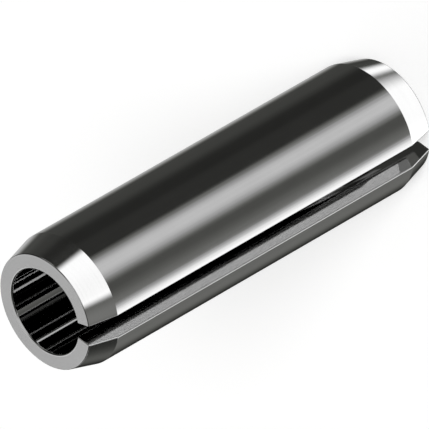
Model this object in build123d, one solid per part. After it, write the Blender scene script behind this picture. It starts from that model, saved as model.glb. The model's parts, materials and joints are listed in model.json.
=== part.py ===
from build123d import *
import math
import os

# A slotted spring pin, also called a roll pin: one strip of spring steel rolled
# into a tube, with an open gap along its whole length and a taper at each end.
# It is modelled free, before it is driven into its hole.
# It stands on its lower end. The middle of that end face is the origin, the
# pin's axis is +Z and the gap faces -Y. Sizes are in millimetres and degrees.

# The tube
outer_diameter = 6.63
wall = 1.17
length = 22.2

# The taper that leads each end into the hole
taper_length = 1.5
taper_angle = 15.0

# The narrowest opening between the strip's two edges, at the bore
gap_width = 0.76

# Where a taper runs into the straight outside
shoulder_round = 0.15

# Roundings that tumbling leaves on the end rims and on the strip's edges
rim_round = 0.06
lip_round = 0.05

# Sizes that follow from those above
outer_radius = outer_diameter / 2
bore_radius = outer_radius - wall
end_radius = outer_radius - taper_length * math.tan(math.radians(taper_angle))
gap_angle = 2 * math.degrees(math.asin(gap_width / 2 / bore_radius))
rolled_angle = 360 - gap_angle
gap_direction = -90


def wall_section():
    """Section of the wall along the pin: straight at the bore, tapered outside at both ends.

    Its own Y runs up the pin. The lowest and highest corners are the rims of the two end faces, and
    those between are the shoulders of the tapers.
    """
    with BuildSketch(Plane.XZ) as section:
        with BuildLine():
            Polyline(
                (bore_radius, 0),
                (end_radius, 0),
                (outer_radius, taper_length),
                (outer_radius, length - taper_length),
                (end_radius, length),
                (bore_radius, length),
                close=True,
            )
        make_face()
        lower_rims, lower_shoulder, upper_shoulder, upper_rims = section.vertices().group_by(Axis.Y)
        fillet(lower_shoulder + upper_shoulder, shoulder_round)
        fillet(lower_rims + upper_rims, rim_round)
    return section.sketch


def rolled_strip():
    """The wall section turned about the axis, which leaves both edges of the gap radial."""
    first_edge = gap_direction + gap_angle / 2
    turned = revolve(wall_section(), Axis.Z, revolution_arc=rolled_angle)
    return Rot(Z=first_edge) * turned


def edge_faces(pin):
    """The two faces of the gap, where the strip was cut: the only flat faces that lie along the pin."""
    return pin.faces().filter_by(GeomType.PLANE).filter_by(Axis.Z, reverse=True)


def spring_pin():
    """The whole pin, with the outlines of both gap faces rounded."""
    pin = rolled_strip()
    lips = [edge for face in edge_faces(pin) for edge in face.edges()]
    return fillet(lips, lip_round)


os.makedirs("parts", exist_ok=True)
export_step(spring_pin(), "parts/spring_pin.step")
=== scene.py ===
import json
import math

import bpy
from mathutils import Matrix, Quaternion, Vector


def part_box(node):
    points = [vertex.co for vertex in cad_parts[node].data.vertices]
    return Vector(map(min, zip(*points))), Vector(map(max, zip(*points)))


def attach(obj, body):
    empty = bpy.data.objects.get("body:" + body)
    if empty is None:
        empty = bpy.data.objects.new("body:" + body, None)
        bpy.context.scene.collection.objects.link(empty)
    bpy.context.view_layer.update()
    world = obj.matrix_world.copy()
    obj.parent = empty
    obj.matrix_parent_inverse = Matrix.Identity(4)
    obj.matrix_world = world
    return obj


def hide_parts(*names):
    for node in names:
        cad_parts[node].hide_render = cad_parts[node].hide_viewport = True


# A slotted spring pin of bare, rolled spring steel. It stands on its lower end on a pale floor,
# its axis is +Z and its gap faces -Y. Lengths are in metres and angles in degrees.

MM = 0.001

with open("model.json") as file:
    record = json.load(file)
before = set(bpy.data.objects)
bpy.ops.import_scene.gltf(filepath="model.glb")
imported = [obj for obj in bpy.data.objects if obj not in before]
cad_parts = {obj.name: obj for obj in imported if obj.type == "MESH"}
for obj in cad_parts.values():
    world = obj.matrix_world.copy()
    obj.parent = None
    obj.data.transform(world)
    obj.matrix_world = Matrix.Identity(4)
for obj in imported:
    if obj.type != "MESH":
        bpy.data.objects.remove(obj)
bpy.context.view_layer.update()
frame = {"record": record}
cad_low, cad_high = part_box("spring_pin")
mounts = {mount["name"]: mount for mount in frame["record"]["mounts"]}

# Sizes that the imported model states
pin_length = cad_high.z - cad_low.z
outer_radius = mounts["outside"]["dims"]["r_mm"] * MM
bore_radius = mounts["bore"]["dims"]["r_mm"] * MM
taper_length = (pin_length - mounts["outside"]["dims"]["length_mm"] * MM) / 2

# Sizes of the strip's ends and edges. The rims of the bore are a little rounder than the solid's.
taper_angle = 15.0
gap_width = 0.76 * MM
shoulder_round = 0.15 * MM
rim_round = 0.06 * MM
bore_rim_round = 0.1 * MM
lip_round = 0.05 * MM
gap_angle = 2 * math.degrees(math.asin(gap_width / 2 / bore_radius))

# How fine the mesh is: points at each corner of the wall's section, points round each lip of the gap,
# rows round the whole roll, and the margin of flat that is kept beside each rounding
points_at_corner = 8
points_round_lip = 6
rows_round_roll = 420
flat_margin = 0.008 * MM


# Small helpers for node trees

class Wiring:
    """Adds nodes to one tree and joins them. A value that is given may be a socket or a plain number."""

    def __init__(self, tree):
        self.tree = tree

    def add(self, kind, **settings):
        node = self.tree.nodes.new(kind)
        for name, value in settings.items():
            setattr(node, name, value)
        return node

    def feed(self, socket, value):
        if isinstance(value, bpy.types.NodeSocket):
            self.tree.links.new(value, socket)
        else:
            socket.default_value = value

    def math(self, operation, *values, clamp=False):
        node = self.add("ShaderNodeMath", operation=operation, use_clamp=clamp)
        for socket, value in zip(node.inputs, values):
            self.feed(socket, value)
        return node.outputs[0]

    def plus(self, *values):
        total = values[0]
        for value in values[1:]:
            total = self.math("ADD", total, value)
        return total

    def minus(self, first, second):
        return self.math("SUBTRACT", first, second)

    def times(self, *values):
        product = values[0]
        for value in values[1:]:
            product = self.math("MULTIPLY", product, value)
        return product

    def over(self, first, second):
        return self.math("DIVIDE", first, second)

    def limited(self, value):
        """The value held between 0 and 1."""
        return self.math("ADD", value, 0.0, clamp=True)

    def blend(self, first, second, share):
        """The first value at share 0, and the second at share 1."""
        return self.plus(self.times(first, self.minus(1.0, share)), self.times(second, share))

    def eased(self, value, start, end, low=0.0, high=1.0):
        """Goes smoothly from low to high while the value goes from start to end."""
        node = self.add("ShaderNodeMapRange", interpolation_type="SMOOTHSTEP")
        for socket, number in zip(node.inputs, (value, start, end, low, high)):
            self.feed(socket, number)
        return node.outputs[0]

    def tinted(self, first, second, share):
        """The first colour at share 0, and the second at share 1."""
        node = self.add("ShaderNodeMix", data_type="RGBA")
        # Of the node's many sockets, these are the ones for colours
        for number, value in ((0, share), (6, first), (7, second)):
            self.feed(node.inputs[number], value)
        return node.outputs[2]

    def split(self, vector):
        """The three parts of a vector."""
        node = self.add("ShaderNodeSeparateXYZ")
        self.feed(node.inputs[0], vector)
        return node.outputs

    def joined(self, x, y, z):
        """The vector of these three parts."""
        node = self.add("ShaderNodeCombineXYZ")
        for socket, value in zip(node.inputs, (x, y, z)):
            self.feed(socket, value)
        return node.outputs[0]

    def use(self, group, **values):
        """Places a node group and sets its named inputs: underscores stand for spaces."""
        node = self.add("ShaderNodeGroup", node_tree=group)
        for name, value in values.items():
            self.feed(node.inputs[name.replace("_", " ")], value)
        return node


def new_group(name, kind, inputs, outputs):
    """A node tree with named sockets. Returns its wiring, its inputs by name and its output node."""
    tree = bpy.data.node_groups.new(name, kind)
    for label, socket_type, value in inputs:
        socket = tree.interface.new_socket(label, in_out="INPUT", socket_type=socket_type)
        if value is not None:
            socket.default_value = value
    for label, socket_type in outputs:
        tree.interface.new_socket(label, in_out="OUTPUT", socket_type=socket_type)
    wiring = Wiring(tree)
    entry = wiring.add("NodeGroupInput")
    result = wiring.add("NodeGroupOutput")
    given = {socket.name: socket for socket in entry.outputs if socket.name}
    return wiring, given, result


FLOAT = "NodeSocketFloat"
WHOLE = "NodeSocketInt"
MESH = "NodeSocketGeometry"
FINISH = "NodeSocketMaterial"


# Steel finishes

STEEL = (0.54, 0.54, 0.54)
BORE_STEEL = (0.48, 0.48, 0.48)
CUT_STEEL = (0.65, 0.65, 0.65)
STEEL_IOR = 2.5

# How often the grain changes in a metre: across its lines, along them, and where it has no direction
GRAIN_ACROSS = 9000.0
GRAIN_ALONG = 70.0
GRAIN_EVEN = GRAIN_ACROSS

# Marks of the tumbling barrel: how large they are, and how deep a nick is for a line of depth 1
PATCH_SIZE = 1.5 * MM
NICK_SIZE = 0.12 * MM
NICK_DEPTH = 0.3

# How far the colour varies each way, and the share of that which follows the patches, not the grain
COLOUR_SPREAD = 0.03
PATCH_SHARE = 0.6


def grain_lines_group():
    """Fine straight lines, as rolls and dies leave them: long in one direction, narrow in the others.

    Around 0 lays the lines along the pin, and 1 lays them round it.
    """
    w, given, result = new_group(
        "Grain lines", "ShaderNodeTree",
        [("Across", FLOAT, GRAIN_ACROSS), ("Along", FLOAT, GRAIN_ALONG), ("Around", FLOAT, 0.0)],
        [("Lines", FLOAT)],
    )
    x, y, z = w.split(w.add("ShaderNodeTexCoord").outputs["Object"])
    flat_scale = w.blend(given["Across"], given["Along"], given["Around"])
    up_scale = w.blend(given["Along"], given["Across"], given["Around"])
    stretched = w.joined(w.times(x, flat_scale), w.times(y, flat_scale), w.times(z, up_scale))
    noise = w.add("ShaderNodeTexNoise", noise_dimensions="3D")
    w.feed(noise.inputs["Vector"], stretched)
    noise.inputs["Scale"].default_value = 1.0
    noise.inputs["Detail"].default_value = 3.0
    noise.inputs["Roughness"].default_value = 0.6
    w.feed(result.inputs["Lines"], w.eased(noise.outputs[0], start=0.3, end=0.7))
    return w.tree


def tumble_marks_group():
    """Soft uneven patches and small nicks, as tumbling in a barrel leaves them."""
    w, given, result = new_group(
        "Tumble marks", "ShaderNodeTree",
        [("Patch Size", FLOAT, PATCH_SIZE), ("Nick Size", FLOAT, NICK_SIZE)],
        [("Patches", FLOAT), ("Nicks", FLOAT)],
    )
    place = w.add("ShaderNodeTexCoord").outputs["Object"]
    patches = w.add("ShaderNodeTexNoise", noise_dimensions="3D")
    w.feed(patches.inputs["Vector"], place)
    w.feed(patches.inputs["Scale"], w.over(1.0, given["Patch Size"]))
    patches.inputs["Detail"].default_value = 4.0
    patches.inputs["Roughness"].default_value = 0.55
    w.feed(result.inputs["Patches"], w.eased(patches.outputs[0], start=0.25, end=0.75))
    nicks = w.add("ShaderNodeTexVoronoi", voronoi_dimensions="3D", feature="F1")
    w.feed(nicks.inputs["Vector"], place)
    w.feed(nicks.inputs["Scale"], w.over(1.0, given["Nick Size"]))
    nick = w.eased(nicks.outputs["Distance"], start=0.05, end=0.35, low=1.0, high=0.0)
    w.feed(result.inputs["Nicks"], nick)
    return w.tree


grain_lines = grain_lines_group()
tumble_marks = tumble_marks_group()


def steel(name, base, roughness, spread=0.0, line_depth=0.0, along=GRAIN_ALONG, around=0.0):
    """A bare steel finish. The grain and the tumbling vary its colour a little, its roughness by spread
    each way, and its height by line_depth. At 0, roughness or height stays even.
    """
    material = bpy.data.materials.new(name)
    material.use_nodes = True
    w = Wiring(material.node_tree)
    shader = material.node_tree.nodes["Principled BSDF"]
    shader.inputs["Metallic"].default_value = 1.0
    shader.inputs["IOR"].default_value = STEEL_IOR
    lines = w.use(grain_lines, Across=GRAIN_ACROSS, Along=along, Around=around).outputs["Lines"]
    marks = w.use(tumble_marks, Patch_Size=PATCH_SIZE, Nick_Size=NICK_SIZE).outputs
    patches, nicks = marks["Patches"], marks["Nicks"]

    darker = [channel * (1 - COLOUR_SPREAD) for channel in base]
    lighter = [channel * (1 + COLOUR_SPREAD) for channel in base]
    variation = w.plus(w.times(patches, PATCH_SHARE), w.times(lines, 1 - PATCH_SHARE))
    w.feed(shader.inputs["Base Color"], w.tinted((*darker, 1.0), (*lighter, 1.0), variation))

    if spread:
        unevenness = w.minus(w.plus(patches, lines), 1.0)
        roughness = w.plus(w.times(unevenness, spread), roughness)
    w.feed(shader.inputs["Roughness"], roughness)

    if line_depth:
        bump = w.add("ShaderNodeBump")
        bump.inputs["Strength"].default_value = 1.0
        bump.inputs["Distance"].default_value = line_depth
        w.feed(bump.inputs["Height"], w.minus(lines, w.times(nicks, NICK_DEPTH)))
        w.feed(shader.inputs["Normal"], bump.outputs[0])
    return material


rolled_skin = steel("rolled_skin", STEEL, roughness=0.09, spread=0.03, line_depth=0.0004 * MM)
swaged_taper = steel(
    "swaged_taper", STEEL, roughness=0.08, spread=0.02, line_depth=0.0002 * MM, around=1.0,
)
end_ring = steel(
    "end_ring", STEEL, roughness=0.38, spread=0.05, line_depth=0.001 * MM, along=GRAIN_EVEN,
)
bore_skin = steel("bore_skin", BORE_STEEL, roughness=0.025)
slit_edge = steel("slit_edge", CUT_STEEL, roughness=0.04, spread=0.005)


# The pin: a wall section turned about the axis, built by a node tree

# The corners of a section: the bore's lower rim, then round the outside to the bore's upper rim
CORNERS = 6

# The upright part of a face's normal, past which the face belongs to a taper or rim, or to a flat end
SLOPED = 0.13
FLAT = 0.995


def rolled_pin_tree():
    """A strip rolled into a tube. Its columns follow the wall's section and its rows follow the roll.

    Each corner of the section has a set of points: a margin on the flat before it, its rounding, and a
    margin on the flat after it. The gap's two edges are the tube's two closed ends.
    """
    w, given, result = new_group(
        "Rolled pin", "GeometryNodeTree",
        [
            ("Outer Radius", FLOAT, 0.0033), ("Bore Radius", FLOAT, 0.0022), ("Length", FLOAT, 0.0222),
            ("Taper Length", FLOAT, 0.0015), ("Taper Angle", FLOAT, 15.0), ("Gap Angle", FLOAT, 20.0),
            ("Rim Round", FLOAT, 0.00006), ("Bore Rim Round", FLOAT, 0.0001),
            ("Shoulder Round", FLOAT, 0.00015), ("Lip Round", FLOAT, 0.00005),
            ("Margin", FLOAT, 0.000008), ("Corner Points", WHOLE, 8), ("Lip Points", WHOLE, 6),
            ("Rows", WHOLE, 420), ("Rolled Skin", FINISH, None), ("Taper Finish", FINISH, None),
            ("End Ring", FINISH, None), ("Bore Skin", FINISH, None), ("Slit Edge", FINISH, None),
        ],
        [("Pin", MESH)],
    )
    outer, bore = given["Outer Radius"], given["Bore Radius"]
    length, taper = given["Length"], given["Taper Length"]
    corner_points, lip_points = given["Corner Points"], given["Lip Points"]
    columns = w.times(corner_points, CORNERS)
    last_row = w.minus(given["Rows"], 1)
    tube = w.add("GeometryNodeMeshCylinder", fill_type="NGON")
    w.feed(tube.inputs["Vertices"], columns)
    w.feed(tube.inputs["Side Segments"], last_row)

    # Which row and column, which corner, and which point of that corner
    index = w.add("GeometryNodeInputIndex").outputs[0]
    row = w.math("FLOOR", w.over(w.plus(index, 0.5), columns))
    column = w.minus(index, w.times(row, columns))
    corner = w.math("FLOOR", w.over(w.plus(column, 0.5), corner_points))
    point = w.minus(column, w.times(corner, corner_points))

    def at_corner(*values):
        """The value that belongs to this point's corner."""
        picked = values[0]
        for number, value in enumerate(values[1:], start=1):
            picked = w.blend(picked, value, w.math("GREATER_THAN", corner, number - 0.5))
        return picked

    slope = w.math("RADIANS", given["Taper Angle"])
    end_radius = w.minus(outer, w.times(taper, w.math("TANGENT", slope)))
    corner_radius = at_corner(bore, end_radius, outer, outer, end_radius, bore)
    corner_height = at_corner(0.0, 0.0, taper, w.minus(length, taper), length, length)
    bore_rim, rim, shoulder = given["Bore Rim Round"], given["Rim Round"], given["Shoulder Round"]
    rounding = at_corner(bore_rim, rim, shoulder, shoulder, rim, bore_rim)

    # The ways that the flats before and after the corner face, as angles up from the outward way
    quarter = math.pi / 2
    fall = w.minus(0.0, slope)
    facing_before = at_corner(-2 * quarter, -quarter, fall, 0.0, slope, quarter)
    facing_after = at_corner(-quarter, fall, 0.0, slope, quarter, 2 * quarter)

    # The rounding's own centre, and the way that this point of it faces
    share = w.limited(w.over(w.minus(point, 1), w.minus(corner_points, 3)))
    facing = w.plus(facing_before, w.times(w.minus(facing_after, facing_before), share))
    middle_facing = w.times(w.plus(facing_before, facing_after), 0.5)
    half_turn = w.times(w.minus(facing_after, facing_before), 0.5)
    inward = w.over(rounding, w.math("COSINE", half_turn))
    out_part, up_part = w.math("COSINE", facing), w.math("SINE", facing)

    # The first point lies a margin before the rounding, and the last one a margin after it
    margin_side = w.minus(
        w.limited(w.minus(point, w.minus(corner_points, 2))),
        w.limited(w.minus(1.0, point)),
    )
    margin = w.times(given["Margin"], margin_side)

    # Rows near the strip's two edges turn round the lip, and the others are spread evenly round the roll
    lip = given["Lip Round"]
    rows_in = w.math("MINIMUM", row, w.minus(last_row, row))
    lip_share = w.limited(w.over(w.minus(rows_in, 1), w.minus(lip_points, 1)))
    lip_facing = w.times(w.minus(1.0, lip_share), quarter)
    from_edge = w.plus(
        w.times(lip, w.minus(1.0, w.math("SINE", lip_facing))),
        w.times(given["Margin"], w.limited(w.minus(rows_in, lip_points))),
    )
    inset = w.plus(
        w.times(lip, w.minus(1.0, w.math("COSINE", lip_facing))),
        w.times(given["Margin"], w.limited(w.minus(1.0, rows_in))),
    )

    reach = w.minus(rounding, inset)
    radius = w.plus(
        w.minus(corner_radius, w.times(inward, w.math("COSINE", middle_facing))),
        w.times(reach, out_part),
        w.times(margin, w.minus(0.0, up_part)),
    )
    height = w.plus(
        w.minus(corner_height, w.times(inward, w.math("SINE", middle_facing))),
        w.times(reach, up_part),
        w.times(margin, out_part),
    )

    half_roll = w.math("RADIANS", w.minus(180.0, w.times(given["Gap Angle"], 0.5)))
    lip_turn = w.over(w.plus(lip, given["Margin"]), radius)
    edge_rows = w.plus(lip_points, 1)
    even = w.limited(w.over(w.minus(row, edge_rows), w.minus(last_row, w.times(edge_rows, 2))))
    side = w.math("SIGN", w.minus(row, w.times(last_row, 0.5)))
    turn = w.plus(
        quarter,
        w.times(w.minus(w.times(even, 2.0), 1.0), w.minus(half_roll, lip_turn)),
        w.times(side, w.minus(lip_turn, w.over(from_edge, radius))),
    )
    x, y = w.times(radius, w.math("COSINE", turn)), w.times(radius, w.math("SINE", turn))
    formed = w.add("GeometryNodeSetPosition")
    w.feed(formed.inputs["Geometry"], tube.outputs["Mesh"])
    w.feed(formed.inputs["Position"], w.joined(x, y, height))
    shape = w.add("GeometryNodeRealizeInstances")
    w.feed(shape.inputs[0], formed.outputs[0])

    # Each edge of the gap is a closed end of the tube, its first or last face, with the row beside it
    faces = w.times(columns, last_row)
    on_slit = w.math(
        "MAXIMUM",
        w.math("LESS_THAN", index, w.plus(columns, 0.5)),
        w.math("GREATER_THAN", index, w.plus(w.minus(faces, columns), 0.5)),
    )

    # Each face gets the finish of the surface that it belongs to: a later choice covers an earlier one
    normal_x, normal_y, normal_z = w.split(w.add("GeometryNodeInputNormal").outputs[0])
    face_x, face_y, _ = w.split(w.add("GeometryNodeInputPosition").outputs[0])
    outward = w.plus(w.times(normal_x, face_x), w.times(normal_y, face_y))
    steep = w.math("ABSOLUTE", normal_z)
    is_sloped = w.math("GREATER_THAN", steep, SLOPED)
    is_flat = w.math("GREATER_THAN", steep, FLAT)
    in_bore = w.math("LESS_THAN", outward, 0.0)
    choices = (
        ("Rolled Skin", True),
        ("Taper Finish", is_sloped),
        ("Bore Skin", in_bore),
        ("Slit Edge", w.math("MAXIMUM", on_slit, w.times(in_bore, is_sloped))),
        ("End Ring", w.times(is_flat, w.minus(1.0, on_slit))),
    )
    mesh = shape.outputs[0]
    for label, chosen in choices:
        painter = w.add("GeometryNodeSetMaterial")
        w.feed(painter.inputs["Geometry"], mesh)
        w.feed(painter.inputs["Selection"], chosen)
        w.feed(painter.inputs["Material"], given[label])
        mesh = painter.outputs[0]
    w.feed(result.inputs["Pin"], mesh)
    return w.tree


def made_by(tree, name, **sizes):
    """The plain mesh object that a node tree makes at these sizes: underscores stand for spaces."""
    maker = bpy.data.objects.new(name + "_maker", bpy.data.meshes.new(name + "_maker"))
    bpy.context.scene.collection.objects.link(maker)
    modifier = maker.modifiers.new("shape", "NODES")
    modifier.node_group = tree
    identifiers = {
        item.name: item.identifier
        for item in tree.interface.items_tree
        if item.item_type == "SOCKET" and item.in_out == "INPUT"
    }
    for label, value in sizes.items():
        modifier[identifiers[label.replace("_", " ")]] = value
    evaluated = maker.evaluated_get(bpy.context.evaluated_depsgraph_get())
    mesh = bpy.data.meshes.new_from_object(evaluated)
    mesh.name = name
    maker.modifiers.remove(modifier)
    bpy.data.objects.remove(maker)
    piece = bpy.data.objects.new(name, mesh)
    bpy.context.scene.collection.objects.link(piece)
    return piece


pin = made_by(
    rolled_pin_tree(), "dressed_pin",
    Outer_Radius=outer_radius, Bore_Radius=bore_radius, Length=pin_length,
    Taper_Length=taper_length, Taper_Angle=taper_angle, Gap_Angle=gap_angle,
    Rim_Round=rim_round, Bore_Rim_Round=bore_rim_round, Shoulder_Round=shoulder_round,
    Lip_Round=lip_round, Margin=flat_margin, Corner_Points=points_at_corner,
    Lip_Points=points_round_lip, Rows=rows_round_roll,
    Rolled_Skin=rolled_skin, Taper_Finish=swaged_taper, End_Ring=end_ring, Bore_Skin=bore_skin,
    Slit_Edge=slit_edge,
)
pin.data.shade_smooth()
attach(pin, "root")
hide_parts("spring_pin")


# The studio: soft panels round the pin, a pale floor and one soft lamp for the shadow.
# Azimuth 0 is on the gap's side and azimuth 90 on the +X side.

# What the numbers of each panel below are, in their order
PANEL_INPUTS = ("Centre", "Half_Width", "Near_Fade", "Far_Fade", "Bottom", "Top", "Edge_Fade", "Level")

STUDIO_PANELS = {
    "key softbox": (56.5, 38.5, 13, 13, -17, -3, 4, 1.81),
    "key glow": (58.5, 16, 25, 25, -55, -17, 8, 0.87),
    "strip light": (-35, 25, 8, 21, -60, -20, 8, 1.65),
    "floor card": (32, 83, 60, 60, -72, -57, 6, 1.78),
    "small card": (150, 12, 20, 20, -62, -48, 6, 1.72),
    "rim card": (209, 14.5, 26, 26, -42, -20, 8, 0.47),
    "high rim card": (196, 12, 14, 14, -32, -22, 6, 0.2),
    "right fill": (155, 22, 20, 20, -28, -13, 6, 0.035),
    "grey wall": (-75, 26, 36, 36, -52, -21, 14, 0.19),
    "front grey": (-8, 18, 28, 28, -50, 2, 8, 0.14),
    "front card": (5, 20, 10, 10, -16, 6, 8, 0.11),
    "low grey": (18, 27, 10, 10, -50, -14, 8, 0.075),
    "side fill": (50, 65, 12, 12, -50, 0, 10, 0.012),
    "back grey": (168, 22, 26, 26, -54, -20, 8, 0.047),
    "front ceiling": (47, 28, 24, 24, 3, 60, 8, 0.62),
    "right ceiling card": (115, 12, 20, 20, 12, 50, 8, 0.2),
    "ring ceiling": (223, 30, 28, 28, 22, 54, 12, 0.87),
    "ceiling": (0, 200, 5, 5, 60, 120, 20, 0.65),
}

# Gaps between the dark screens, where the steel shows the white backdrop. Their level is how far they
# are open.
BACKDROP_GAPS = {
    "left of the slit": (-85, 22, 30, 30, -8, 4, 4, 1.0),
    "under the slit": (-33, 10, 14, 14, -22, -9, 6, 1.0),
    "right side": (118, 14, 14, 14, -5, 4, 3, 1.0),
    "back, low": (213, 28, 30, 24, -19, -10, 4, 1.0),
    "back, at the horizon": (199, 12, 14, 14, -6, 0, 3, 1.0),
    "back, high": (219, 22, 24, 24, 9, 18, 4, 0.8),
}

# The levels of the dark screens, of a panel that gives white light, and of the backdrop
SCREEN_LEVEL = 0.033
PANEL_LEVEL = 0.6
BACKDROP_LEVEL = 1.0

# The dark screens give a slightly warm light, and the panels a white one
SCREEN_TINT = (0.99, 1.0, 0.93, 1.0)
WHITE = (1.0, 1.0, 1.0, 1.0)

# The floor gives some light of its own where it is seen, so that it looks nearly white
FLOOR_WIDTH = 1.2
FLOOR_COLOUR = (0.8, 0.8, 0.8, 1.0)
FLOOR_GLOW = 0.5

# The lamp's place and strength, and how wide it looks from the pin
LAMP_AZIMUTH = 45.0
LAMP_ELEVATION = 48.0
LAMP_DISTANCE = 0.3
LAMP_STRENGTH = 1.25
LAMP_WIDTH = 20.0

# The photograph's angle, the lens and its sensor in millimetres, the width of what the picture shows at
# the pin, and how far the picture's middle lies to the left of the pin's middle and below it
CAMERA_AZIMUTH = 43.5
CAMERA_ELEVATION = 35.264
CAMERA_ROLL = -119.9
CAMERA_LENS = 1700.0
SENSOR_WIDTH = 36.0
PICTURE_WIDTH = 19.77 * MM
PICTURE_LEFT = 0.083 * MM
PICTURE_BELOW = 0.055 * MM


def soft_panel_group():
    """One soft-edged panel of light. Its near fade is at its side of lower azimuth."""
    w, given, result = new_group(
        "Soft panel", "ShaderNodeTree",
        [
            ("Azimuth", FLOAT, 0.0), ("Elevation", FLOAT, 0.0), ("Centre", FLOAT, 0.0),
            ("Half Width", FLOAT, 20.0), ("Near Fade", FLOAT, 15.0), ("Far Fade", FLOAT, 15.0),
            ("Bottom", FLOAT, -90.0), ("Top", FLOAT, 90.0), ("Edge Fade", FLOAT, 5.0),
            ("Level", FLOAT, 1.0),
        ],
        [("Light", FLOAT)],
    )

    def past(value, edge, fade, low, high):
        """Goes from low to high as the value passes an edge, over the width of the fade."""
        half_fade = w.times(fade, 0.5)
        return w.eased(value, w.minus(edge, half_fade), w.plus(edge, half_fade), low, high)

    aside = w.math("WRAP", w.minus(given["Azimuth"], given["Centre"]), 180.0, -180.0)
    beyond = w.math("GREATER_THAN", aside, 0.0)
    side_fade = w.blend(given["Near Fade"], given["Far Fade"], beyond)
    across = past(w.math("ABSOLUTE", aside), given["Half Width"], side_fade, 1.0, 0.0)
    above = past(given["Elevation"], given["Bottom"], given["Edge Fade"], 0.0, 1.0)
    below = past(given["Elevation"], given["Top"], given["Edge Fade"], 1.0, 0.0)
    w.feed(result.inputs["Light"], w.times(across, above, below, given["Level"]))
    return w.tree


soft_panel = soft_panel_group()


def panels_in(w, panels, azimuth, elevation, start):
    """The sum of these panels in one direction, from a starting level."""
    total = start
    for numbers in panels.values():
        named = dict(zip(PANEL_INPUTS, numbers))
        panel = w.use(soft_panel, Azimuth=azimuth, Elevation=elevation, **named)
        total = w.plus(total, panel.outputs["Light"])
    return total


def backdrop_rays(w, share):
    """1 for a ray that meets the white backdrop, as all of the camera's do. This share of the rays that a
    finish sends on meets it too.
    """
    rays = w.add("ShaderNodeLightPath").outputs
    sent_on = w.math("MAXIMUM", rays["Is Glossy Ray"], rays["Is Transmission Ray"])
    return w.math("MAXIMUM", rays["Is Camera Ray"], w.times(sent_on, share))


def studio_world():
    """A white backdrop with dark screens and soft panels before it, which the camera looks past."""
    world = bpy.data.worlds.new("studio")
    bpy.context.scene.world = world
    world.use_nodes = True
    world.node_tree.nodes.clear()
    w = Wiring(world.node_tree)
    x, y, z = w.split(w.add("ShaderNodeTexCoord").outputs["Generated"])
    azimuth = w.math("DEGREES", w.math("ARCTAN2", x, w.times(y, -1.0)))
    elevation = w.math("DEGREES", w.math("ARCSINE", z))
    light = panels_in(w, STUDIO_PANELS, azimuth, elevation, SCREEN_LEVEL)
    gaps = w.limited(panels_in(w, BACKDROP_GAPS, azimuth, elevation, 0.0))
    level = w.blend(light, BACKDROP_LEVEL, backdrop_rays(w, gaps))
    background = w.add("ShaderNodeBackground")
    tint = w.tinted(SCREEN_TINT, WHITE, w.eased(level, start=0.0, end=PANEL_LEVEL))
    w.feed(background.inputs["Color"], tint)
    w.feed(background.inputs["Strength"], level)
    output = w.add("ShaderNodeOutputWorld")
    w.feed(output.inputs["Surface"], background.outputs[0])


def pale_floor():
    """A plain pale floor. The camera sees it nearly white, and the pin's shadow falls on it."""
    half = FLOOR_WIDTH / 2
    corners = [(-half, -half, 0), (half, -half, 0), (half, half, 0), (-half, half, 0)]
    mesh = bpy.data.meshes.new("floor")
    mesh.from_pydata(corners, [], [(0, 1, 2, 3)])
    floor = bpy.data.objects.new("floor", mesh)
    bpy.context.scene.collection.objects.link(floor)
    material = bpy.data.materials.new("pale_floor")
    material.use_nodes = True
    w = Wiring(material.node_tree)
    shader = material.node_tree.nodes["Principled BSDF"]
    shader.inputs["Base Color"].default_value = FLOOR_COLOUR
    shader.inputs["Roughness"].default_value = 0.9
    shader.inputs["Specular IOR Level"].default_value = 0.0
    shader.inputs["Emission Color"].default_value = WHITE
    w.feed(shader.inputs["Emission Strength"], w.times(backdrop_rays(w, 1.0), FLOOR_GLOW))
    mesh.materials.append(material)
    # The steel is lit from below too, so the floor isn't seen in it and holds back no light
    floor.visible_glossy = False
    floor.visible_shadow = False


def heading(azimuth, elevation):
    """The way from the pin to this azimuth and elevation."""
    azimuth, elevation = math.radians(azimuth), math.radians(elevation)
    level_part = math.cos(elevation)
    return Vector((math.sin(azimuth) * level_part, -math.cos(azimuth) * level_part, math.sin(elevation)))


def shadow_lamp():
    """A soft lamp high on the camera's side. The steel doesn't reflect it: it is there for the shadow."""
    data = bpy.data.lights.new("shadow_lamp", "SUN")
    data.energy = LAMP_STRENGTH
    data.angle = math.radians(LAMP_WIDTH)
    lamp = bpy.data.objects.new("shadow_lamp", data)
    bpy.context.scene.collection.objects.link(lamp)
    towards = heading(LAMP_AZIMUTH, LAMP_ELEVATION)
    lamp.rotation_mode = "QUATERNION"
    lamp.rotation_quaternion = towards.to_track_quat("Z", "Y")
    lamp.location = towards * LAMP_DISTANCE
    lamp.visible_glossy = False


def place_camera():
    """A long lens at the photograph's angle, turned so that the standing pin lies across the picture."""
    data = bpy.data.cameras.new("camera")
    data.sensor_width = SENSOR_WIDTH
    data.lens = CAMERA_LENS
    camera = bpy.data.objects.new("camera", data)
    bpy.context.scene.collection.objects.link(camera)
    back = heading(CAMERA_AZIMUTH, CAMERA_ELEVATION)
    level_view = (-back).to_track_quat("-Z", "Y")
    camera.rotation_mode = "QUATERNION"
    camera.rotation_quaternion = level_view @ Quaternion((0, 0, 1), math.radians(CAMERA_ROLL))
    right = camera.rotation_quaternion @ Vector((1, 0, 0))
    up = camera.rotation_quaternion @ Vector((0, 1, 0))
    distance = PICTURE_WIDTH * CAMERA_LENS / SENSOR_WIDTH
    middle = Vector((0, 0, pin_length / 2))
    camera.location = middle + back * distance - right * PICTURE_LEFT - up * PICTURE_BELOW
    data.clip_start = distance * 0.5
    data.clip_end = distance * 2
    bpy.context.scene.camera = camera


studio_world()
pale_floor()
shadow_lamp()
place_camera()
bpy.context.scene.view_settings.view_transform = "Standard"
